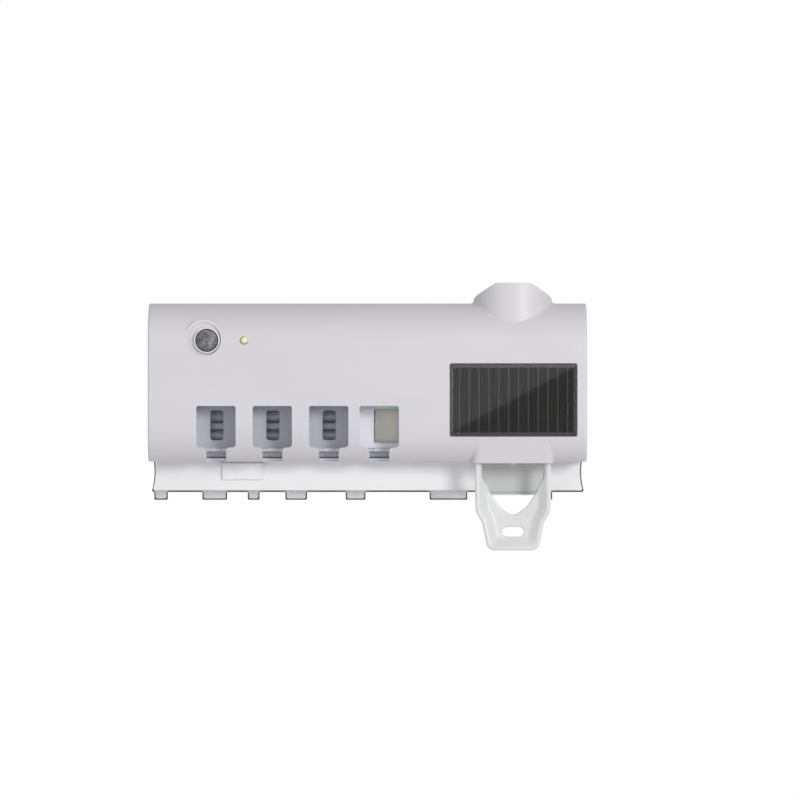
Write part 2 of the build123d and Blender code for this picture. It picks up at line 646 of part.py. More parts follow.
with BuildPart() as solar_glass:
    with BuildSketch(facing(pocket_floor + 1.05)):
        with Locations((PANEL_X, PANEL_Z)):
            RectangleRounded(*solar_size, 1.0)
    extrude(amount=PANEL_T - 1.05)
    chamfer(solar_glass.faces().sort_by(Axis.Y)[0].edges(), 0.25)
save(solar_glass, "solar_glass")

# ---------------------------------------------------------------- brush rack
rack_left, rack_right = SLOT_X[0] - 12.2, SLOT_X[-1] + 12.2
with BuildPart() as brush_rack:
    block((-102.0, 29.5), (RACK_D, RACK_D + 1.5), (-40.0, -6.5))
    fillet(brush_rack.edges().filter_by(Axis.Y), 1.5)
    block((rack_left, rack_right), (RACK_D + 1, 44.4), (-37.0, -35.4))
    block((rack_left, rack_right), (RACK_D + 1, 50.5), (-9.6, -8.2))
    dividers = [rack_left + 0.6, rack_right - 0.6]
    for slot_a, slot_b in zip(SLOT_X, SLOT_X[1:]):
        dividers.append((slot_a + slot_b) / 2)
    for divider_x in dividers:
        with BuildSketch(side(divider_x)):
            add(polygon((RACK_D + 1, -37.0), (44.4, -37.0), (50.5, -23.0), (50.5, -8.2), (RACK_D + 1, -8.2)))
        extrude(amount=0.6, both=True)
    for slot_x in SLOT_X:
        with BuildSketch(Plane.XY.offset(-38.0)):
            with Locations((slot_x, -44.4)):
                SlotOverall(16.0, 8.0, rotation=90)
        extrude(amount=4.0, mode=Mode.SUBTRACT)
    for slot_x in SLOT_X[:-1]:
        with BuildSketch(facing(RACK_D - 1)):
            with Locations((slot_x, -23.0)):
                RectangleRounded(7.0, 16.0, 1.5)
        extrude(amount=4.0, mode=Mode.SUBTRACT)
    block((3.6, 16.5), (RACK_D - 1, RACK_D + 3), (-32.0, -14.6), Mode.SUBTRACT)
    for post_x, post_z in RACK_POSTS:
        drum(post_x, post_z, 1.3, (RACK_D - 1, RACK_D + 3), Mode.SUBTRACT)
save(brush_rack, "brush_rack")

with BuildPart() as lamp_guard:
    block((-5.0, 3.5), (RACK_D + 1.5, RACK_D + 2.4), (-35.3, -9.7))
    block((3.4, 17.2), (RACK_D + 1.5, RACK_D + 2.4), (-35.3, -32.6))
    block((3.4, 17.2), (RACK_D + 1.5, RACK_D + 2.4), (-14.0, -9.7))
    chamfer(lamp_guard.faces().sort_by(Axis.Y)[0].edges(), 0.25)
save(lamp_guard, "lamp_guard")

# ---------------------------------------------------------------- ultraviolet lamp
with BuildPart() as uv_lamp:
    with BuildLine() as lamp_path:
        FilletPolyline(
            (8.0, -LAMP_D, LAMP_Z[0]),
            (-92.0, -LAMP_D, LAMP_Z[0]),
            (-92.0, -LAMP_D, LAMP_Z[1]),
            (8.0, -LAMP_D, LAMP_Z[1]),
            radius=4.0,
        )
    with BuildSketch(Plane(origin=(8.0, -LAMP_D, LAMP_Z[0]), z_dir=(-1, 0, 0))):
        Circle(LAMP_R)
    sweep(path=lamp_path.line)
save(uv_lamp, "uv_lamp")

with BuildPart() as lamp_base:
    block((4.0, 26.0), (REFLECTOR_D + 1.5, 29.4), (-33.5, -13.5))
    fillet(lamp_base.edges().filter_by(Axis.X), 1.5)
    block((10.0, 20.0), (REFLECTOR_D, REFLECTOR_D + 2.5), (-40.0, -13.5))
    for lamp_z in LAMP_Z:
        with Locations(Location((6.0, -LAMP_D, lamp_z), (0, 90, 0))):
            Cylinder(LAMP_R, 5.0, mode=Mode.SUBTRACT)
    drum(*BASE_POST, 1.25, (REFLECTOR_D - 1, 30.0), Mode.SUBTRACT)
save(lamp_base, "lamp_base")

with BuildPart() as lamp_clip:
    block((-68.0, -64.0), (REFLECTOR_D + 0.6, 25.4), (-33.6, -13.4))
    for lamp_z in LAMP_Z:
        with Locations(Location((-66.0, -LAMP_D, lamp_z), (0, 90, 0))):
            Cylinder(LAMP_R, 6.0, mode=Mode.SUBTRACT)
        block((-69.0, -63.0), (LAMP_D, 30.0), (lamp_z - 2.7, lamp_z + 2.7), Mode.SUBTRACT)
save(lamp_clip, "lamp_clip")

with BuildPart() as lamp_reflector:
    block((-103.0, 2.0), (REFLECTOR_D, REFLECTOR_D + 0.6), (-37.0, -9.0))
    block((-103.0, 2.0), (REFLECTOR_D, REFLECTOR_D + 7.0), (-37.0, -36.4))
    for post_x, post_z in LAMP_POSTS + [CLIP_POST]:
        drum(post_x, post_z, 1.25, (REFLECTOR_D - 1, REFLECTOR_D + 2), Mode.SUBTRACT)
save(lamp_reflector, "lamp_reflector")

with BuildPart() as lamp_inverter:
    with BuildSketch(facing(9.0)):
        with Locations((-47.0, -25.0)):
            RectangleRounded(54.0, 22.0, 1.5)
        with Locations(*INVERTER_POSTS):
            Circle(1.05, mode=Mode.SUBTRACT)
    extrude(amount=1.2)
    block((-52.0, -38.0), (10.2, 16.6), (-31.0, -19.0))
    drum(-62.0, -22.0, 2.5, (10.2, 16.5))
    block((-32.0, -27.0), (10.2, 13.0), (-33.0, -26.0))
save(lamp_inverter, "lamp_inverter")

# ---------------------------------------------------------------- battery bay
cell_left, cell_right = CELL_X - CELL_L / 2, CELL_X + CELL_L / 2
with BuildPart() as battery_cell:
    along_x(CELL_R, (cell_left, cell_right - 1.0), CELL_D, CELL_Z)
    fillet(battery_cell.edges(), 0.8)
    along_x(4.0, (cell_right - 1.2, cell_right), CELL_D, CELL_Z)
save(battery_cell, "battery_cell")

with BuildPart() as battery_holder:
    block((cell_left - 3.4, cell_right + 3.4), (8.6, 28.2), (CELL_Z - 11.0, CELL_Z + 11.0))
    fillet(battery_holder.edges().group_by(Axis.Y)[0], 2.0)
    for post_x, post_z in HOLDER_POSTS:
        block((post_x - 3.0, post_x + 3.0), (9.0, 10.6), (post_z - 3.0, CELL_Z - 10))
    along_x(CELL_R + 0.2, (cell_left - 1.4, cell_right + 1.4), CELL_D, CELL_Z, Mode.SUBTRACT)
    inner = (cell_left - 1.4, cell_right + 1.4)
    block(inner, (8.0, CELL_D), (CELL_Z - CELL_R - 0.2, CELL_Z + CELL_R + 0.2), Mode.SUBTRACT)
    block((CELL_X - 14, CELL_X + 14), (CELL_D, 30.0), (CELL_Z - 4, CELL_Z + 4), Mode.SUBTRACT)
    for post_x, post_z in HOLDER_POSTS:
        drum(post_x, post_z, 1.05, (8.0, 12.0), Mode.SUBTRACT)
save(battery_holder, "battery_holder")

with BuildPart() as battery_contacts:
    block((cell_left - 1.4, cell_left - 1.1), (9.5, 24.0), (CELL_Z - 5, CELL_Z + 5))
    block((cell_left - 1.2, cell_left), (CELL_D - 2.5, CELL_D + 2.5), (CELL_Z - 2.5, CELL_Z + 2.5))
    block((cell_right + 1.1, cell_right + 1.4), (9.5, 24.0), (CELL_Z - 5, CELL_Z + 5))
    block((cell_right, cell_right + 1.2), (CELL_D - 2.5, CELL_D + 2.5), (CELL_Z - 2.5, CELL_Z + 2.5))
save(battery_contacts, "battery_contacts")

with BuildPart() as battery_door:
    block((CELL_X - 40.8, CELL_X + 40.8), (BACK_D, BACK_D + 1.2), (CELL_Z - 12.4, CELL_Z + 10.2))
    block((CELL_X - 33.2, CELL_X + 33.2), (BACK_D + 1, 6.4), (CELL_Z - 9.3, CELL_Z + 9.3))
    block((CELL_X + 25, CELL_X + 34.8), (6.1, 7.3), (CELL_Z - 4, CELL_Z + 4))
    for rib_x in (-24, -8, 8, 20):
        block((CELL_X + rib_x - 0.6, CELL_X + rib_x + 0.6), (6.0, 7.6), (CELL_Z - 7, CELL_Z + 7))
    drum(*DOOR_POST, 1.05, (BACK_D - 1, BACK_D + 2), Mode.SUBTRACT)
save(battery_door, "battery_door")

# ---------------------------------------------------------------- charging port
with BuildPart() as charge_board:
    with BuildSketch(facing(9.0)):
        with Locations((FLAP_X, -49.2)):
            RectangleRounded(27.0, 12.4, 1.0)
        with Locations(*FLAP_POSTS):
            Circle(1.05, mode=Mode.SUBTRACT)
    extrude(amount=1.2)
    block((FLAP_X + 4.4, FLAP_X + 7.6), (10.0, 11.2), (-54.6, -52.0))
    block((FLAP_X - 7.4, FLAP_X - 4.4), (10.0, 11.6), (-54.6, -52.6))
save(charge_board, "charge_board")

port_z = (PORT_TOP + PORT_BOTTOM) / 2
with BuildPart() as charge_socket:
    with BuildSketch(facing(10.2)):
        with Locations((FLAP_X, port_z)):
            RectangleRounded(9.0, 3.2, 1.55)
    extrude(amount=7.9)
    with BuildSketch(facing(12.0)):
        with Locations((FLAP_X, port_z)):
            RectangleRounded(8.4, 2.6, 1.25)
    extrude(amount=8.0, mode=Mode.SUBTRACT)
    block((FLAP_X - 3.3, FLAP_X + 3.3), (11.5, 17.4), (port_z - 0.35, port_z + 0.35))
save(charge_socket, "charge_socket")

with BuildPart() as port_flap:
    flap_sides = (FLAP_X - FLAP_W / 2, FLAP_X + FLAP_W / 2)
    block(flap_sides, (20.5, 21.6), (FLAP_BOTTOM, FLAP_AXIS_Z - 0.4))
    fillet(port_flap.faces().sort_by(Axis.Y)[0].edges(), 0.3)
    block((FLAP_X - 3.5, FLAP_X + 3.5), (20.9, 22.1), (FLAP_BOTTOM + 0.5, FLAP_BOTTOM + 1.3))
    along_x(0.75, flap_sides, FLAP_AXIS_D + 0.05, FLAP_AXIS_Z)
    along_x(0.44, (flap_sides[0] - 1, flap_sides[1] + 1), FLAP_AXIS_D, FLAP_AXIS_Z, Mode.SUBTRACT)
save(port_flap, "port_flap")

with BuildPart() as flap_pin:
    along_x(0.4, (flap_sides[0] - 1.3, flap_sides[1] + 1.3), FLAP_AXIS_D, FLAP_AXIS_Z)
save(flap_pin, "flap_pin")

# ---------------------------------------------------------------- toothpaste pump
with BuildPart() as pump_frame:
    # rear plate with two screw lugs, and cheeks that carry the lever pin
    block((BAY_X - 28.5, BAY_X + 28.5), (22.3, 24.0), (-12.5, 2.5))
    fillet(pump_frame.edges().filter_by(Axis.Y), 2.0)
    for cheek in (-1, 1):
        cheek_x = (BAY_X + cheek * 20.9, BAY_X + cheek * 24.5)
        block(cheek_x, (23.0, 44.0), (-12.0, -5.4))
        along_x(3.3, cheek_x, PIVOT_D + 0.7, -8.7)
    # seat under the tube
    with BuildSketch(Plane.XY.offset(3.2)):
        with Locations((BAY_X, -SOCKET_D)):
            Circle(18.6)
    extrude(amount=1.8)
    block((BAY_X - 9, BAY_X + 9), (22.3, 24.0), (1.5, 4.0))
    # chamber, inlet and outlet pipes
    drum(BAY_X, PUMP_Z, PUMP_R, (20.0, 33.0))
    for radius, z_low, z_high in ((4.4, PUMP_Z, 4.0), (3.4, -41.0, PUMP_Z)):
        with Locations((BAY_X, -SOCKET_D, (z_low + z_high) / 2)):
            Cylinder(radius, z_high - z_low)
    drum(BAY_X, PUMP_Z, PUMP_R - 2.0, (22.0, 34.0), Mode.SUBTRACT)
    with Locations((BAY_X, -SOCKET_D, -7.0)):
        Cylinder(2.6, 30.0, mode=Mode.SUBTRACT)
    with Locations((BAY_X, -SOCKET_D, -38.0)):
        Cylinder(1.8, 16.0, mode=Mode.SUBTRACT)
    along_x(PIN_R + 0.03, (BAY_X - 30, BAY_X + 30), PIVOT_D, PIVOT_Z, Mode.SUBTRACT)
    for post_x, post_z in FRAME_POSTS:
        drum(post_x, post_z, SCREW_R + 0.15, (20.0, 26.0), Mode.SUBTRACT)
save(pump_frame, "pump_frame")

with BuildPart() as pump_cap:
    drum(BAY_X, PUMP_Z, PUMP_R, (34.0, 37.0))
    fillet(pump_cap.faces().sort_by(Axis.Y)[0].edges(), 0.6)
    drum(BAY_X, PUMP_Z, 7.1, (33.0, 35.5), Mode.SUBTRACT)
    drum(BAY_X, PUMP_Z, 5.3, (33.0, 38.0), Mode.SUBTRACT)
save(pump_cap, "pump_cap")

with BuildPart() as diaphragm:
    drum(BAY_X, PUMP_Z, PUMP_R - 0.1, (33.0, 34.0))
    drum(BAY_X, PUMP_Z, 4.0, (31.6, 33.5))
save(diaphragm, "diaphragm")

with BuildPart() as plunger:
    drum(BAY_X, PUMP_Z, 6.6, (34.0, 35.2))
    drum(BAY_X, PUMP_Z, 5.25, (35.0, 39.0))
    fillet(plunger.faces().sort_by(Axis.Y)[0].edges(), 0.6)
save(plunger, "plunger")

with BuildPart() as return_spring:
    with BuildLine() as coil:
        Helix(pitch=2.5, height=10.0, radius=6.6, center=(BAY_X, -22.45, PUMP_Z), direction=(0, -1, 0))
    with BuildSketch(Plane(coil.line @ 0, z_dir=coil.line % 0)):
        Circle(0.4)
    sweep(path=coil.line, is_frenet=True)
save(return_spring, "return_spring")

with BuildPart() as inlet_seal:
    with BuildSketch(Plane.XY.offset(5.0)):
        with Locations((BAY_X, -SOCKET_D)):
            Circle(18.4)
    extrude(amount=4.6)
    with Locations((BAY_X, -SOCKET_D, 7.6)):
        Cone(4.2, 8.0, 4.6, mode=Mode.SUBTRACT)
    with Locations((BAY_X, -SOCKET_D, 7.0)):
        Cylinder(3.2, 10.0, mode=Mode.SUBTRACT)
save(inlet_seal, "inlet_seal")

with BuildPart() as inlet_valve:
    with Locations((BAY_X, -SOCKET_D, -12.0)):
        Cylinder(2.6, 3.0)
    block((BAY_X - 1.8, BAY_X + 1.8), (27.9, 28.1), (-14.0, -10.0), Mode.SUBTRACT)
save(inlet_valve, "inlet_valve")

with BuildPart() as outlet_nozzle:
    with Locations((BAY_X, -SOCKET_D, -40.6)):
        Cylinder(3.4 + 1.2, 5.0)
    fillet(outlet_nozzle.edges().group_by(Axis.Z)[0], 1.0)
    with Locations((BAY_X, -SOCKET_D, -43.0)):
        Cylinder(2.4, 5.0)
    with Locations((BAY_X, -SOCKET_D, -37.0)):
        Cylinder(3.42, 8.0, mode=Mode.SUBTRACT)
    with Locations((BAY_X, -SOCKET_D, -43.0)):
        Cylinder(1.5, 10.0, mode=Mode.SUBTRACT)
save(outlet_nozzle, "outlet_nozzle")

# ---------------------------------------------------------------- push lever
with BuildPart() as push_lever:
    with BuildSketch(facing(LEVER_BACK)):
        add(lever_outline())
    extrude(amount=LEVER_FRONT - LEVER_BACK)
    for arm in (-1, 1):
        arm_x = (BAY_X + arm * (LEVER_HALF - 3.6), BAY_X + arm * LEVER_HALF)
        block(arm_x, (LEVER_BACK, LEVER_FRONT), (-42.0, PIVOT_Z))
        along_x(3.9, arm_x, PIVOT_D, PIVOT_Z)
    block((BAY_X - LEVER_HALF, BAY_X + LEVER_HALF), (43.0, 45.2), (-28.5, -18.5))
    block((BAY_X - 4, BAY_X + 4), (41.0, 43.5), (-26.5, -21.5))
    along_x(3.0, (BAY_X - 4, BAY_X + 4), 42.3, PUMP_Z)

    # dished middle with the paste window, and the oval grip hole
    with BuildSketch(facing(LEVER_FRONT)):
        add(offset(lever_outline(), -1.8))
    extrude(amount=LEVER_BACK + 1.8 - LEVER_FRONT, taper=54, mode=Mode.SUBTRACT)
    block((BAY_X - LEVER_HALF + 3.6, BAY_X + LEVER_HALF - 3.6), (36.0, 43.0), (-44.0, -30.0), Mode.SUBTRACT)
    window_half = [(16.6, -38.0), (16.6, -51.3), (13.9, -54.2), (12.6, -58.8), (7.2, -66.6), (1.8, -70.7)]
    window_right = [(BAY_X + x, z) for x, z in window_half]
    window_left = [(BAY_X - x, z) for x, z in reversed(window_half)]
    with BuildSketch(facing(LEVER_BACK - 2)) as window:
        add(polygon(*window_right, *window_left))
        fillet(window.vertices().filter_by(lambda v: v.Y < -50.0), 1.5)
        with Locations((BAY_X, -80.1)):
            SlotOverall(11.6, 5.1)
    extrude(amount=12, mode=Mode.SUBTRACT)
    along_x(PIN_R + 0.05, (BAY_X - 30, BAY_X + 30), PIVOT_D, PIVOT_Z, Mode.SUBTRACT)
save(push_lever, "push_lever")

with BuildPart() as lever_pin:
    along_x(PIN_R, (BAY_X - 24.9, BAY_X + 24.9), PIVOT_D, PIVOT_Z)
    along_x(2.4, (BAY_X - 25.7, BAY_X - 24.6), PIVOT_D, PIVOT_Z)
save(lever_pin, "lever_pin")

# ---------------------------------------------------------------- screws
screws("case_screws", SCREW_POSTS, 2.7, 2.2, 15.0, SCREW_R, 33.5)
screws("control_board_screws", BOARD_POSTS, 1.9, 1.4, BOARD_D, 0.8, BOARD_D + 6.0)
screws("rack_screws", RACK_POSTS, 2.2, 1.5, RACK_D, 1.0, RACK_D + 8.0)
screws("pump_screws", FRAME_POSTS, 2.4, 1.6, 22.3, 1.2, 31.0)
screws("battery_door_screw", [DOOR_POST], 1.6, 0.9, BACK_D, 0.8, 9.5)
screws("reflector_screws", LAMP_POSTS + [CLIP_POST], 2.1, 1.4, REFLECTOR_D + 0.6, 1.0, 11.0)
screws("lamp_base_screw", [BASE_POST], 2.1, 1.4, REFLECTOR_D + 2.5, 1.0, 11.0)
screws("battery_holder_screws", HOLDER_POSTS, 1.9, 1.3, 10.6, 0.8, 7.0)
screws("inverter_screws", INVERTER_POSTS, 1.9, 1.3, 10.2, 0.8, 7.0)
screws("charge_board_screws", FLAP_POSTS, 1.9, 1.3, 10.2, 0.8, 7.0)

# ---------------------------------------------------------------- leads
lead("battery_lead", 0.8, (-22.0, 28.2, 14.0), (-22.0, 31.0, 14.0), (-53.0, 31.0, 8.0), (-53.0, 33.0, 8.0))
lead(
    "solar_lead",
    0.7,
    (58.0, pocket_floor, PANEL_Z),
    (58.0, 46.5, PANEL_Z),
    (46.0, 46.5, PANEL_Z),
    (46.0, 46.5, 14.0),
    (-44.0, 46.5, 14.0),
    (-44.0, BOARD_D + BOARD_T, 14.0),
)
lead("lamp_lead", 0.8, (-29.5, 13.0, -30.0), (-29.5, 15.4, -30.0), (8.0, 15.4, -30.0), (8.0, 19.5, -30.0))
lead(
    "charge_lead",
    0.7,
    (-73.0, 11.6, -53.5),
    (-73.0, 14.0, -53.5),
    (-73.0, 14.0, 6.0),
    (-73.0, BOARD_D, 6.0),
)
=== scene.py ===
"""Visual model of a wall-hung ultraviolet toothbrush sanitizer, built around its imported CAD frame.

The row frame is in metres: the wall is y = 0, the object stands out of it towards -Y,
+X is to the right seen from the front and +Z is up.
"""

import json
import math

import bmesh
import bpy
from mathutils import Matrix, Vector
from mathutils.bvhtree import BVHTree
from mathutils.geometry import barycentric_transform


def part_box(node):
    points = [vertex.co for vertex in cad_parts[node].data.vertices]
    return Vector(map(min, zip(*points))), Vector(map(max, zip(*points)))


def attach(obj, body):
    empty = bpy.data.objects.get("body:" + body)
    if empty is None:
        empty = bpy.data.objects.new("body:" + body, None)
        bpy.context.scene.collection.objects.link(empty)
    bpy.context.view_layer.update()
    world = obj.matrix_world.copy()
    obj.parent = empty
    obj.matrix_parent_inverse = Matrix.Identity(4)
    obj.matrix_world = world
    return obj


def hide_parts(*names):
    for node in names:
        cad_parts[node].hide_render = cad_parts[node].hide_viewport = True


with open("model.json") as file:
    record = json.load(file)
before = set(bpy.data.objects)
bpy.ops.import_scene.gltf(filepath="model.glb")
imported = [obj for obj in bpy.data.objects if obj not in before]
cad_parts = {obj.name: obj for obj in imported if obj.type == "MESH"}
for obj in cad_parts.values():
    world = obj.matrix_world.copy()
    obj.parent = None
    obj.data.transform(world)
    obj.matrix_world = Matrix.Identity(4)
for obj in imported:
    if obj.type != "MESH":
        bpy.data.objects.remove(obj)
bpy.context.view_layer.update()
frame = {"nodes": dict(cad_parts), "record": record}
NODES = frame["nodes"]
BODIES = frame["record"]["behaviour"]["bodies"]
BODY_OF = {node: body for body, members in BODIES.items() for node in members}
SLOT_OF = {row["node"]: row["material_slot"] for row in frame["record"]["subparts"]}
MM = 0.001


# ---------------------------------------------------------------- shader helpers
class Shader:
    """A Principled material with a few short calls for procedural detail."""

    def __init__(self, name, rough=0.4, **sockets):
        self.mat = bpy.data.materials.new(name)
        self.mat.use_nodes = True
        self.tree = self.mat.node_tree
        self.bsdf = self.tree.nodes["Principled BSDF"]
        self.bsdf.inputs["Roughness"].default_value = rough
        for key, value in sockets.items():
            self.bsdf.inputs[key.replace("_", " ")].default_value = value
        coords = self.tree.nodes.new("ShaderNodeTexCoord")
        self.position = coords.outputs["Object"]
        self.height = None

    def node(self, kind, **settings):
        made = self.tree.nodes.new(kind)
        for key, value in settings.items():
            setattr(made, key, value)
        return made

    def link(self, a, b):
        self.tree.links.new(a, b)

    def stretched(self, scale):
        mapping = self.node("ShaderNodeMapping")
        mapping.inputs["Scale"].default_value = scale
        self.link(self.position, mapping.inputs["Vector"])
        return mapping.outputs["Vector"]

    def noise(self, scale, detail=2.0, roughness=0.5, stretch=None, distortion=0.0):
        made = self.node("ShaderNodeTexNoise")
        made.inputs["Scale"].default_value = scale
        made.inputs["Detail"].default_value = detail
        made.inputs["Roughness"].default_value = roughness
        made.inputs["Distortion"].default_value = distortion
        self.link(self.stretched(stretch) if stretch else self.position, made.inputs["Vector"])
        return made.outputs["Fac"]

    def math(self, operation, a, b=None, clamp=False):
        made = self.node("ShaderNodeMath", operation=operation, use_clamp=clamp)
        for socket, value in zip(made.inputs, (a, b)):
            if value is None:
                continue
            if isinstance(value, (int, float)):
                socket.default_value = value
            else:
                self.link(value, socket)
        return made.outputs[0]

    def ramp(self, fac, *stops):
        made = self.node("ShaderNodeValToRGB")
        ends = made.color_ramp.elements
        while len(ends) < len(stops):
            ends.new(0.5)
        for element, (place, colour) in zip(ends, stops):
            element.position = place
            element.color = (*colour, 1.0)
        self.link(fac, made.inputs["Fac"])
        return made.outputs["Color"]

    def mix(self, fac, a, b):
        made = self.node("ShaderNodeMix", data_type="RGBA")
        for socket, value in zip((made.inputs[0], made.inputs[6], made.inputs[7]), (fac, a, b)):
            if isinstance(value, (int, float)):
                socket.default_value = value
            elif isinstance(value, tuple):
                socket.default_value = (*value, 1.0)
            else:
                self.link(value, socket)
        return made.outputs[2]

    def colour(self, output):
        self.link(output, self.bsdf.inputs["Base Color"])

    def roughness(self, fac, low, high):
        made = self.node("ShaderNodeMapRange")
        made.inputs["To Min"].default_value = low
        made.inputs["To Max"].default_value = high
        self.link(fac, made.inputs["Value"])
        self.link(made.outputs["Result"], self.bsdf.inputs["Roughness"])

    def bump(self, height, strength, depth_mm):
        made = self.node("ShaderNodeBump")
        made.inputs["Strength"].default_value = strength
        made.inputs["Distance"].default_value = depth_mm * MM
        self.link(height, made.inputs["Height"])
        if self.height is not None:
            self.link(self.height, made.inputs["Normal"])
        self.height = made.outputs["Normal"]
        self.link(self.height, self.bsdf.inputs["Normal"])


def tint(colour, factor):
    return tuple(min(1.0, channel * factor) for channel in colour)


def moulded(name, colour, rough, wear_and_highlight=0.35):
    """Injection-moulded plastic: faint flow mottling, a fine tool texture, and edges painted slightly paler,
    partly as rubbed wear and partly as a painted edge highlight.
    """
    mottle, grain_scale, grain_depth_mm = 0.02, 2600.0, 0.02
    s = Shader(name, rough)
    flow = s.noise(38.0, 3.0, 0.55, stretch=(0.35, 1.0, 1.0))
    speck = s.noise(900.0, 2.0)
    base = s.ramp(flow, (0.3, tint(colour, 1 - mottle)), (0.7, tint(colour, 1 + mottle)))
    base = s.mix(s.math("MULTIPLY", speck, 0.05), base, tint(colour, 0.93))
    if wear_and_highlight:
        # paler convex edges: partly rubbed wear, partly a painted edge highlight
        edges = s.node("ShaderNodeNewGeometry").outputs["Pointiness"]
        rubbed_and_lit_edge = s.math("MULTIPLY", s.math("SUBTRACT", edges, 0.52), 5.0, clamp=True)
        base = s.mix(s.math("MULTIPLY", rubbed_and_lit_edge, wear_and_highlight), base, tint(colour, 1.12))
    s.colour(base)
    s.roughness(s.noise(120.0, 3.0), rough - 0.05, rough + 0.06)
    s.bump(s.noise(grain_scale, 3.0, 0.6), 0.35, grain_depth_mm)
    return s.mat


def metal(name, colour, rough, brushed=(1.0, 1.0, 14.0)):
    """Sheet or wire metal, brushed along the axis with the smallest stretch."""
    s = Shader(name, rough, Metallic=1.0)
    streaks = s.noise(900.0, 3.0, 0.6, stretch=brushed)
    s.colour(s.ramp(streaks, (0.3, tint(colour, 0.86)), (0.75, tint(colour, 1.08))))
    s.roughness(streaks, rough - 0.08, rough + 0.12)
    s.bump(streaks, 0.25, 0.01)
    return s.mat


CASING = (0.675, 0.655, 0.69)
MATERIALS = {
    "casing": moulded("casing_plastic", CASING, 0.40, wear_and_highlight=0),
    "casing_back": moulded("casing_back_plastic", (0.70, 0.69, 0.715), 0.46),
    "rack_plastic": moulded("rack_plastic", (0.58, 0.605, 0.65), 0.45),
    "lamp_base": moulded("lamp_base_plastic", (0.96, 0.91, 0.79), 0.45),
    "holder": moulded("holder_plastic", (0.02, 0.02, 0.022), 0.5),
    "pump": moulded("pump_plastic", (0.74, 0.745, 0.75), 0.42),
    "chips": moulded("chip_moulding", (0.018, 0.018, 0.02), 0.55),
    "steel": metal("plated_steel", (0.55, 0.55, 0.56), 0.3),
    "contact": metal("nickel_contact", (0.68, 0.64, 0.58), 0.28),
    "reflector": metal("satin_reflector", (0.62, 0.64, 0.68), 0.42, brushed=(20.0, 1.0, 1.0)),
}


def clear_plastic():
    """Clear sheet: its faces are pale and let light through; its cut edges and rim are painted dark grey as
    painted shade.
    """
    shaded_rim_mm = 1.3
    s = Shader("clear_bracket_plastic", 0.08, IOR=1.49)
    split = s.node("ShaderNodeSeparateXYZ")
    s.link(s.node("ShaderNodeTexCoord").outputs["Normal"], split.inputs["Vector"])
    across = s.math("ABSOLUTE", split.outputs["Y"])
    haze = s.ramp(s.noise(55.0, 3.0), (0.3, (0.96, 0.97, 0.985)), (0.7, (0.985, 0.99, 1.0)))
    # painted shade: the dark grey laid on the sheet's cut edges and rim, picked out by inward ambient
    # occlusion and by faces turned away from the front
    edge = s.ramp(s.noise(150.0, 3.0), (0.3, (0.012, 0.013, 0.016)), (0.7, (0.03, 0.032, 0.036)))
    inward = s.node("ShaderNodeAmbientOcclusion", inside=True, only_local=True, samples=16)
    inward.inputs["Distance"].default_value = shaded_rim_mm * MM
    off_shaded_edge = s.ramp(inward.outputs["AO"], (0.74, (0, 0, 0)), (0.94, (1, 1, 1)))
    is_face = s.math("MULTIPLY", off_shaded_edge, s.ramp(across, (0.982, (0, 0, 0)), (0.997, (1, 1, 1))))
    s.colour(s.mix(is_face, edge, haze))
    s.link(s.math("MULTIPLY", is_face, 0.4), s.bsdf.inputs["Transmission Weight"])
    s.roughness(s.noise(260.0, 4.0), 0.05, 0.16)
    s.bump(s.noise(90.0, 2.0), 0.12, 0.05)
    return s.mat


def lever_plastic():
    """Milky plastic that lets a little light in under its surface."""
    s = Shader("lever_plastic", 0.34, IOR=1.49)
    s.bsdf.inputs["Subsurface Weight"].default_value = 0.2
    s.bsdf.inputs["Subsurface Radius"].default_value = (0.002, 0.0021, 0.0022)
    s.bsdf.inputs["Subsurface Scale"].default_value = 1.0
    flow = s.noise(60.0, 3.0)
    s.colour(s.ramp(flow, (0.3, (0.70, 0.705, 0.705)), (0.7, (0.745, 0.75, 0.745))))
    s.roughness(s.noise(180.0, 3.0), 0.26, 0.42)
    s.bump(s.noise(2200.0, 3.0), 0.25, 0.012)
    return s.mat


def foam_tape():
    """Closed-cell foam with its skin of small bubbles."""
    s = Shader("foam_tape", 0.85)
    s.bsdf.inputs["Sheen Weight"].default_value = 0.2
    cells = s.node("ShaderNodeTexVoronoi")
    cells.inputs["Scale"].default_value = 1500.0
    s.link(s.position, cells.inputs["Vector"])
    s.colour(s.ramp(cells.outputs["Distance"], (0.0, (0.70, 0.70, 0.68)), (0.6, (0.84, 0.84, 0.82))))
    s.bump(cells.outputs["Distance"], 0.6, 0.12)
    return s.mat


def circuit_board():
    """Green solder resist over the weave of the laminate."""
    s = Shader("circuit_board", 0.35)
    weave = s.node("ShaderNodeTexBrick")
    weave.inputs["Scale"].default_value = 420.0
    weave.inputs["Mortar Size"].default_value = 0.03
    weave.inputs["Color1"].default_value = (0.012, 0.10, 0.045, 1)
    weave.inputs["Color2"].default_value = (0.015, 0.115, 0.05, 1)
    weave.inputs["Mortar"].default_value = (0.02, 0.16, 0.07, 1)
    turned = s.node("ShaderNodeMapping")
    turned.inputs["Rotation"].default_value = (math.pi / 2, 0, 0)
    s.link(s.position, turned.inputs["Vector"])
    s.link(turned.outputs["Vector"], weave.inputs["Vector"])
    mask = s.noise(300.0, 2.0)
    s.colour(s.mix(s.math("MULTIPLY", mask, 0.4), weave.outputs["Color"], (0.008, 0.07, 0.03)))
    s.bump(weave.outputs["Fac"], 0.2, 0.03)
    return s.mat


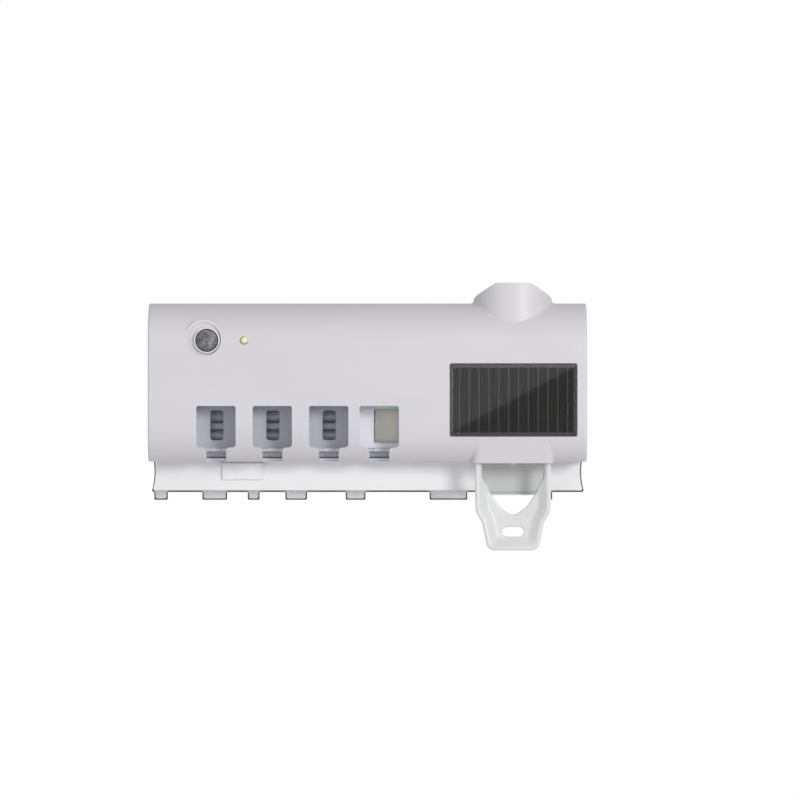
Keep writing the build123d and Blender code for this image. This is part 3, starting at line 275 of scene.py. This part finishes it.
def solar_film():
    """Thin-film strips: dark brown, faintly streaked across, with a purple cast in patches."""
    s = Shader("solar_film", 0.25)
    s.bsdf.inputs["Specular IOR Level"].default_value = 0.2
    streak = s.noise(220.0, 3.0, 0.6, stretch=(6.0, 1.0, 0.25))
    patch = s.noise(28.0, 2.0)
    brown = s.ramp(streak, (0.25, (0.036, 0.020, 0.009)), (0.8, (0.052, 0.031, 0.016)))
    s.colour(s.mix(s.math("MULTIPLY", patch, 0.4), brown, (0.038, 0.024, 0.022)))
    s.roughness(streak, 0.2, 0.34)
    return s.mat


def solar_backing():
    """Near-black laminate behind the strips, with the fine weave of its glass cloth."""
    s = Shader("solar_backing", 0.3)
    s.bsdf.inputs["Specular IOR Level"].default_value = 0.2
    weave = s.noise(1500.0, 2.0, stretch=(1.0, 1.0, 0.4))
    s.colour(s.ramp(weave, (0.3, (0.006, 0.006, 0.009)), (0.7, (0.016, 0.015, 0.02))))
    s.roughness(weave, 0.25, 0.4)
    s.bump(weave, 0.2, 0.01)
    return s.mat


def solar_cover():
    """Polished clear cover over the solar strips."""
    s = Shader("solar_cover", 0.03, IOR=1.5)
    s.bsdf.inputs["Specular IOR Level"].default_value = 0.22
    s.bsdf.inputs["Transmission Weight"].default_value = 1.0
    s.colour(s.ramp(s.noise(12.0), (0.2, (0.90, 0.90, 0.92)), (0.8, (0.96, 0.96, 0.97))))
    s.roughness(s.noise(400.0, 4.0), 0.0, 0.003)
    return s.mat


def conductor():
    """Dull brownish silver ink, laid down a little unevenly."""
    s = Shader("solar_conductor", 0.5, Metallic=0.3)
    ink = s.noise(700.0, 3.0)
    s.colour(s.ramp(ink, (0.3, (0.15, 0.13, 0.10)), (0.7, (0.24, 0.21, 0.16))))
    s.roughness(ink, 0.4, 0.6)
    return s.mat


def quartz():
    """Lamp tube, faintly clouded along its length."""
    s = Shader("quartz_tube", 0.03, IOR=1.46)
    s.bsdf.inputs["Transmission Weight"].default_value = 0.75
    ends = s.noise(30.0, 2.0)
    s.colour(s.ramp(ends, (0.3, (0.80, 0.86, 0.93)), (0.7, (0.92, 0.94, 0.98))))
    s.roughness(s.noise(90.0, 3.0), 0.02, 0.1)
    return s.mat


def sensor_lens():
    """Grey lens of the motion sensor, mottled in patches."""
    s = Shader("sensor_lens", 0.36)
    s.bsdf.inputs["Subsurface Weight"].default_value = 0.1
    s.bsdf.inputs["Subsurface Radius"].default_value = (0.001, 0.001, 0.001)
    cloud = s.noise(420.0, 4.0, 0.65, distortion=0.6)
    dark, grey, pale = (0.075, 0.077, 0.08), (0.17, 0.172, 0.175), (0.36, 0.362, 0.365)
    s.colour(s.ramp(cloud, (0.32, dark), (0.52, grey), (0.72, pale)))
    s.roughness(cloud, 0.25, 0.5)
    s.bump(s.noise(1400.0, 3.0), 0.3, 0.03)
    return s.mat


def led_body():
    """Pale yellow diffused lamp with a faint glow."""
    s = Shader("led_body", 0.22)
    s.bsdf.inputs["Emission Color"].default_value = (1.0, 0.93, 0.55, 1)
    s.bsdf.inputs["Emission Strength"].default_value = 0.12
    s.bsdf.inputs["Subsurface Weight"].default_value = 0.3
    s.bsdf.inputs["Subsurface Radius"].default_value = (0.001, 0.001, 0.0006)
    cloud = s.noise(500.0, 2.0)
    s.colour(s.ramp(cloud, (0.3, (0.78, 0.72, 0.40)), (0.7, (0.88, 0.84, 0.58))))
    s.roughness(cloud, 0.15, 0.3)
    return s.mat


def silicone(name, colour):
    """Soft rubber with a dusty bloom."""
    s = Shader(name, 0.5)
    s.bsdf.inputs["Sheen Weight"].default_value = 0.15
    cloud = s.noise(70.0, 3.0)
    s.colour(s.ramp(cloud, (0.3, tint(colour, 0.93)), (0.7, tint(colour, 1.05))))
    s.roughness(cloud, 0.42, 0.6)
    s.bump(s.noise(1800.0, 2.0), 0.25, 0.02)
    return s.mat


def cell_sleeve():
    """Shrink sleeve of a rechargeable cell: faint lengthwise seam streaks and a soft orange-peel surface."""
    s = Shader("cell_sleeve", 0.3)
    streak = s.noise(90.0, 3.0, stretch=(0.1, 1.0, 1.0))
    s.colour(s.ramp(streak, (0.3, (0.03, 0.09, 0.24)), (0.7, (0.045, 0.12, 0.30))))
    s.roughness(s.noise(300.0, 2.0), 0.2, 0.38)
    s.bump(s.noise(700.0, 2.0), 0.3, 0.02)
    return s.mat


MATERIALS.update(
    clear=clear_plastic(),
    lever_plastic=lever_plastic(),
    pad=foam_tape(),
    board=circuit_board(),
    solar=solar_film(),
    solar_cover=solar_cover(),
    lamp_glass=quartz(),
    lens=sensor_lens(),
    bezel=moulded("bezel_plastic", (0.80, 0.80, 0.81), 0.35),
    guard=moulded("guard_plastic", (0.93, 0.95, 0.985), 0.40),
    # darker than the apron: partly the splash plate's own grey, partly painted shade of the recess behind the
    # lever
    splash=moulded("splash_plastic_painted_shade", (0.62, 0.635, 0.63), 0.45),
    apron=moulded("apron_plastic", (0.86, 0.86, 0.875), 0.42),
    backing=solar_backing(),
    conductor=conductor(),
    # painted shadow: the black of the ring around the sensor lens
    gasket=silicone("gasket_rubber", (0.012, 0.012, 0.013)),
    led=led_body(),
    rubber=silicone("silicone_rubber", (0.42, 0.43, 0.44)),
    lead=silicone("lead_insulation", (0.26, 0.02, 0.018)),
    cell=cell_sleeve(),
)

# nodes whose finish differs from the rest of their slot
SPECIAL = {
    "sensor_bezel": "bezel",
    "lamp_guard": "guard",
    "splash_plate": "splash",
    "solar_board": "backing",
    "rear_housing": "apron",
    "port_flap": "apron",
}


def finish_of(node_name):
    return MATERIALS[SPECIAL.get(node_name, SLOT_OF[node_name])]


for node_name, node in NODES.items():
    for material_slot in node.material_slots:
        material_slot.material = finish_of(node_name)


# ---------------------------------------------------------------- mesh helpers
def piece(name, bm, node=None, body=None, slot=None, material=None):
    """Makes a piece from a bmesh, gives it a material, and rides it on its body in place of its node."""
    mesh = bpy.data.meshes.new(name)
    bm.to_mesh(mesh)
    bm.free()
    obj = bpy.data.objects.new(name, mesh)
    bpy.context.scene.collection.objects.link(obj)
    slot_name = slot or SLOT_OF[node]
    mesh.materials.append(material or (finish_of(node) if node else MATERIALS[slot_name]))
    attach(obj, body or BODY_OF[node])
    if node:
        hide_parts(node)
    return obj


def apply_modifiers(obj):
    """Bakes an object's modifiers into its mesh."""
    bpy.context.view_layer.update()
    depsgraph = bpy.context.evaluated_depsgraph_get()
    baked = bpy.data.meshes.new_from_object(obj.evaluated_get(depsgraph))
    obj.modifiers.clear()
    obj.data = baked


SHARP_ANGLE = math.radians(28.0)
SMOOTH_ANGLE = math.radians(35.0)
FLAT_ANGLE = math.radians(0.6)
WELD_MM = 0.01


class TrueNormals:
    """Looks up the exact surface normal of a CAD node at a point on it."""

    def __init__(self, mesh):
        mesh.calc_loop_triangles()
        self.places = [v.co.copy() for v in mesh.vertices]
        self.triangles = [(tuple(t.vertices), tuple(t.loops), t.normal.copy()) for t in mesh.loop_triangles]
        self.normals = [n.vector.copy() for n in mesh.corner_normals]
        self.tree = BVHTree.FromPolygons(self.places, [t[0] for t in self.triangles])

    def at(self, place, facing):
        """Normal of the surface at the place that turns most nearly the given way."""
        found = self.tree.find_nearest_range(place, WELD_MM * MM)
        if not found:
            return facing
        near = max(found, key=lambda hit: self.triangles[hit[2]][2].dot(facing))
        corners, loops, flat = self.triangles[near[2]]
        if flat.dot(facing) < 0.9:
            return facing
        a, b, c = (self.places[i] for i in corners)
        na, nb, nc = (self.normals[i] for i in loops)
        return barycentric_transform(near[0], a, b, c, na, nb, nc).normalized()


def softened(node, name, width_mm, seam=None):
    """The node's own shape with its sharp edges rounded over, as a mould leaves them.

    Edges for which seam(edge) holds stay sharp, so that two flush mouldings meet without a groove.
    """
    source = NODES[node].data
    true_normals = TrueNormals(source)
    bm = bmesh.new()
    bm.from_mesh(source)
    bmesh.ops.remove_doubles(bm, verts=bm.verts, dist=2e-6)
    bmesh.ops.dissolve_limit(
        bm, angle_limit=FLAT_ANGLE, verts=bm.verts, edges=bm.edges, use_dissolve_boundaries=False
    )
    sharp = [e for e in bm.edges if len(e.link_faces) == 2 and e.calc_face_angle(0.0) > SHARP_ANGLE]
    sharp = [e for e in sharp if seam is None or not seam(e)]
    made = bmesh.ops.bevel(
        bm,
        geom=sharp,
        offset=width_mm * MM,
        offset_type="OFFSET",
        segments=2,
        profile=0.5,
        affect="EDGES",
        clamp_overlap=True,
        loop_slide=True,
    )
    rounded = set(made["faces"])
    kept = {}
    for face in bm.faces:
        face.smooth = True
        if face not in rounded:
            for loop in face.loops:
                kept[(face, loop.vert)] = true_normals.at(loop.vert.co, face.normal)
    beside = {}
    for (face, vert), normal in kept.items():
        beside.setdefault(vert, []).append(normal)
    bm.normal_update()
    # Copied out as tuples, because piece() frees the bmesh that these vectors live in.
    normals = []
    for face in bm.faces:
        for loop in face.loops:
            if face in rounded:
                options = beside.get(loop.vert, [loop.vert.normal])
                normals.append(tuple(max(options, key=face.normal.dot)))
            else:
                normals.append(tuple(kept[(face, loop.vert)]))
    obj = piece(name, bm, node=node)
    obj.data.normals_split_custom_set(normals)
    return obj


def melted(node, name, voxel_mm, rounds):
    """The node's own shape with every edge flowing into the next, as in a soft translucent moulding."""
    bm = bmesh.new()
    bm.from_mesh(NODES[node].data)
    obj = piece(name, bm, node=node)
    remesh = obj.modifiers.new("remesh", "REMESH")
    remesh.mode = "VOXEL"
    remesh.voxel_size = voxel_mm * MM
    remesh.use_smooth_shade = True
    smooth = obj.modifiers.new("smooth", "SMOOTH")
    smooth.factor = 0.5
    smooth.iterations = rounds
    apply_modifiers(obj)
    return obj


def middle(node):
    """Centre of the node's box."""
    low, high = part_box(node)
    return [(a + b) / 2 for a, b in zip(low, high)]


def box_into(bm, low, high):
    """Adds a closed box between two corners."""
    corners = bmesh.ops.create_cube(bm, size=1.0)["verts"]
    for vert in corners:
        vert.co = [a + (b - a) * (c + 0.5) for a, b, c in zip(low, high, vert.co)]


def lathe(bm, centre_x, centre_z, profile):
    """Closes a profile of (radius, depth) points into a solid of revolution about an axis out of the wall."""
    segments = 64
    rings = []
    for radius, depth in profile:
        turn = [2 * math.pi * i / segments for i in range(segments)]
        if radius == 0:
            rings.append([bm.verts.new((centre_x, -depth, centre_z))] * segments)
            continue
        places = [(centre_x + radius * math.cos(a), -depth, centre_z + radius * math.sin(a)) for a in turn]
        rings.append([bm.verts.new(place) for place in places])
    closed = profile[0][0] > 0 and profile[-1][0] > 0
    pairs = list(zip(rings, rings[1:])) + ([(rings[-1], rings[0])] if closed else [])
    for one, two in pairs:
        for i in range(segments):
            j = (i + 1) % segments
            bm.faces.new(list(dict.fromkeys([one[i], two[i], two[j], one[j]])))
    bmesh.ops.recalc_face_normals(bm, faces=bm.faces)


def smooth_by_angle(obj):
    """Shades the piece smooth but for its sharp edges."""
    obj.data.shade_smooth()
    obj.data.set_sharp_from_angle(angle=SMOOTH_ANGLE)


# ---------------------------------------------------------------- casings, rack, bracket, lever and flap
# the cover, its slotted fascia and its tube collar are flush, so their common edges stay sharp
FASCIA_LOW, FASCIA_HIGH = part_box("brush_fascia")
COLLAR_LOW, COLLAR_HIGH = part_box("tube_collar")
COLLAR_FOOT = 12.5 * MM
WELDS = ((0, FASCIA_LOW[0]), (0, FASCIA_HIGH[0]), (2, FASCIA_HIGH[2]))
WELDS += ((0, COLLAR_LOW[0]), (0, COLLAR_HIGH[0]), (2, COLLAR_FOOT))


def on_weld(edge):
    """Whether the edge lies where the slotted fascia or the tube collar is welded into the cover."""
    return any(all(abs(v.co[axis] - place) < WELD_MM * MM for v in edge.verts) for axis, place in WELDS)


softened("front_cover", "casing_front", 0.3, seam=on_weld)
softened("brush_fascia", "slotted_front", 0.3, seam=on_weld)
softened("tube_collar", "collar_front", 0.3, seam=on_weld)
softened("rear_housing", "casing_rear", 0.3)
softened("brush_rack", "ultraviolet_chamber", 0.2)
softened("wall_bracket", "clear_bracket", 0.9)
melted("push_lever", "paste_lever", 0.45, 16)
softened("port_flap", "charging_flap", 0.15)


# ---------------------------------------------------------------- solar panel conductors
def solar_conductors():
    """Fine printed lines between the strips, and the two solder tabs at the foot."""
    low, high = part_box("solar_cells")
    pitch, count, half_line = 5.26 * MM, 12, 0.12 * MM
    proud, short = 0.02 * MM, 0.3 * MM
    back, front = high[1] - proud, low[1] - proud
    centre_x = middle("solar_cells")[0]
    bm = bmesh.new()
    for index in range(count):
        x = centre_x + (index - (count - 1) / 2) * pitch
        box_into(bm, (x - half_line, front, low[2] + short), (x + half_line, back, high[2] - short))
    tab, inset = 1.6 * MM, 2 * MM
    tab_foot, tab_top = low[2] - 0.6 * MM, low[2] - 0.2 * MM
    for x in (low[0] + inset, high[0] - inset - tab):
        box_into(bm, (x, front, tab_foot), (x + tab, back, tab_top))
    body = BODY_OF["solar_cells"]
    piece("solar_conductors", bm, body=body, slot="contact", material=MATERIALS["conductor"])


solar_conductors()


# ---------------------------------------------------------------- faceted sensor lens
def faceted_lens():
    """Dome with a honeycomb of small lenslets pressed into it."""
    low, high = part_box("sensor_lens")
    centre_x, centre_z = (low[0] + high[0]) / 2, (low[2] + high[2]) / 2
    rim_radius = (high[0] - low[0]) / 2
    back, crown = high[1], low[1]
    dome_radius = 9.5 * MM
    rings, turns = 34, 96
    lenslet, valley = 2.1 * MM, 0.16 * MM
    fading_rings = 4

    def honeycomb(u, v):
        """Height in 0..1 across one hexagonal cell: full at its centre, nothing at its border."""
        best = 9.0
        row = round(v / (lenslet * 0.866))
        for near_row in (row - 1, row, row + 1):
            shift = 0.5 * (near_row % 2)
            column = round(u / lenslet - shift)
            du, dv = u - (column + shift) * lenslet, v - near_row * lenslet * 0.866
            best = min(best, math.hypot(du, dv) / (lenslet * 0.577))
        return max(0.0, 1.0 - best * best)

    bm = bmesh.new()
    circles = []
    for ring in range(rings + 1):
        radius = rim_radius * ring / rings
        circle = []
        for turn in range(turns):
            angle = 2 * math.pi * turn / turns
            u, v = radius * math.cos(angle), radius * math.sin(angle)
            sag = dome_radius - math.sqrt(dome_radius**2 - radius**2)
            fade = min(1.0, (rings - ring) / fading_rings)
            depth = valley * (1.0 - honeycomb(u, v)) * fade
            circle.append(bm.verts.new((centre_x + u, crown + sag + depth, centre_z + v)))
            if ring == 0:
                circle = circle * turns
                break
        circles.append(circle)
    circles.append([bm.verts.new((v.co.x, back, v.co.z)) for v in circles[-1]])
    for inner, outer in zip(circles, circles[1:]):
        for turn in range(turns):
            after = (turn + 1) % turns
            corners = [inner[turn], outer[turn], outer[after], inner[after]]
            bm.faces.new(list(dict.fromkeys(corners)))
    bm.faces.new(circles[-1])
    bmesh.ops.recalc_face_normals(bm, faces=bm.faces)
    for face in bm.faces:
        face.smooth = len(face.verts) < 5
    piece("faceted_lens", bm, node="sensor_lens")


faceted_lens()


def lens_gasket():
    """Black ring between the lens and its bezel, a painted shadow: it stands for the shadow the bezel casts
    on the lens rim.
    """
    low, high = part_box("sensor_lens")
    rim = (high[0] - low[0]) / 2
    crown = -low[1] - 1.75 * MM
    inner, outer = rim - 0.55 * MM, rim + 0.02 * MM
    profile = [(inner, crown - 0.5 * MM), (inner, crown - 0.1 * MM), (inner + 0.12 * MM, crown)]
    profile += [(outer - 0.1 * MM, crown), (outer, crown - 0.1 * MM), (outer, crown - 0.5 * MM)]
    bm = bmesh.new()
    lathe(bm, (low[0] + high[0]) / 2, (low[2] + high[2]) / 2, profile)
    body = BODY_OF["sensor_lens"]
    smooth_by_angle(piece("lens_gasket", bm, body=body, slot="rubber", material=MATERIALS["gasket"]))


lens_gasket()


def indicator_lamp():
    """Round-nosed lamp with the collar that stops it behind the cover."""
    low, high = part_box("indicator_light")
    nose, tail = -low[1], -high[1]
    radius, collar = 1.8 * MM, (high[0] - low[0]) / 2
    nose_round, steps = 0.9 * MM, 8
    profile = [(0.0, nose)]
    for step in range(1, steps + 1):
        angle = math.pi / 2 * step / steps
        profile.append(
            (radius - nose_round * (1 - math.sin(angle)), nose - nose_round * (1 - math.cos(angle)))
        )
    collar_front, collar_back = nose - 2.9 * MM, nose - 4.7 * MM
    edge = 0.15 * MM
    profile += [(radius, collar_front), (collar - edge, collar_front), (collar, collar_front - edge)]
    profile += [(collar, collar_back + edge), (collar - edge, collar_back), (radius, collar_back)]
    profile += [(radius, tail), (0.0, tail)]
    bm = bmesh.new()
    lathe(bm, (low[0] + high[0]) / 2, (low[2] + high[2]) / 2, profile)
    smooth_by_angle(piece("indicator_lamp", bm, node="indicator_light"))


indicator_lamp()

# ---------------------------------------------------------------- camera, floor and light
VIEW_X, VIEW_Z = 0.0174, -0.0094
VIEW_DISTANCE = 4.0
FRONT_Y = -0.050
VIEW_WIDTH = 0.428

camera_data = bpy.data.cameras.new("camera")
camera_data.sensor_width = 36.0
camera_data.lens = 36.0 * VIEW_DISTANCE / VIEW_WIDTH
camera_data.clip_end = 50.0
camera = bpy.data.objects.new("camera", camera_data)
camera.location = (VIEW_X, FRONT_Y - VIEW_DISTANCE, VIEW_Z)
camera.rotation_euler = (math.pi / 2, 0.0, 0.0)
bpy.context.scene.collection.objects.link(camera)
bpy.context.scene.camera = camera
bpy.context.scene.view_settings.view_transform = "Standard"


def floor_plane():
    """Pale floor under the wall-hung object."""
    floor_z = -0.30
    bm = bmesh.new()
    for x, y in ((-1.6, -1.8), (1.6, -1.8), (1.6, 0.55), (-1.6, 0.55)):
        bm.verts.new((x, y, floor_z))
    bm.faces.new(bm.verts)
    mesh = bpy.data.meshes.new("floor")
    bm.to_mesh(mesh)
    bm.free()
    s = Shader("floor_paint", 0.7)
    s.colour(s.ramp(s.noise(6.0), (0.3, (0.80, 0.80, 0.80)), (0.7, (0.84, 0.84, 0.84))))
    mesh.materials.append(s.mat)
    obj = bpy.data.objects.new("floor", mesh)
    bpy.context.scene.collection.objects.link(obj)


floor_plane()


def soft_light(name, location, target, size, power):
    """White rectangular light aimed at the target."""
    data = bpy.data.lights.new(name, "AREA")
    data.shape = "RECTANGLE"
    data.size, data.size_y = size
    data.energy = power
    obj = bpy.data.objects.new(name, data)
    obj.location = location
    direction = Vector(target) - Vector(location)
    obj.rotation_euler = direction.to_track_quat("-Z", "Y").to_euler()
    bpy.context.scene.collection.objects.link(obj)
    return obj


soft_light("key", (1.5, -2.4, 0.5), (0, 0, 0), (0.7, 0.7), 33.0)
soft_light("fill", (-1.4, -2.4, -0.2), (0, 0, 0), (1.4, 1.4), 9.0)


def window_card():
    """A window whose slanted edge is mirrored by the solar panel's cover."""
    panel = Vector(middle("solar_glass"))
    mirrored = Vector((2 * panel.x - VIEW_X, FRONT_Y - VIEW_DISTANCE, 2 * panel.z - VIEW_Z))
    size, power = 0.5, 0.5
    tilt = math.radians(28)
    across = Vector((-math.sin(tilt), 0.0, math.cos(tilt)))
    light = soft_light("window", mirrored + across * (size / 2), panel, (size, size), power)
    light.rotation_euler.rotate_axis("Z", tilt)


window_card()


def studio_world():
    """Soft white surroundings, brighter in front of the object and behind it than above and below."""
    world = bpy.data.worlds.new("studio")
    world.use_nodes = True
    bpy.context.scene.world = world
    nodes, links = world.node_tree.nodes, world.node_tree.links
    background = nodes["Background"]
    background.inputs["Color"].default_value = (1, 1, 1, 1)
    split = nodes.new("ShaderNodeSeparateXYZ")
    links.new(nodes.new("ShaderNodeTexCoord").outputs["Generated"], split.inputs["Vector"])
    level = nodes.new("ShaderNodeMath")
    level.operation = "ABSOLUTE"
    links.new(split.outputs["Y"], level.inputs[0])
    ahead = nodes.new("ShaderNodeMapRange")
    ahead.inputs["To Min"].default_value = 0.34
    ahead.inputs["To Max"].default_value = 0.72
    links.new(level.outputs[0], ahead.inputs["Value"])
    seen = nodes.new("ShaderNodeMix")
    seen.inputs["B"].default_value = 1.0
    links.new(nodes.new("ShaderNodeLightPath").outputs["Is Camera Ray"], seen.inputs["Factor"])
    links.new(ahead.outputs["Result"], seen.inputs["A"])
    links.new(seen.outputs["Result"], background.inputs["Strength"])


studio_world()
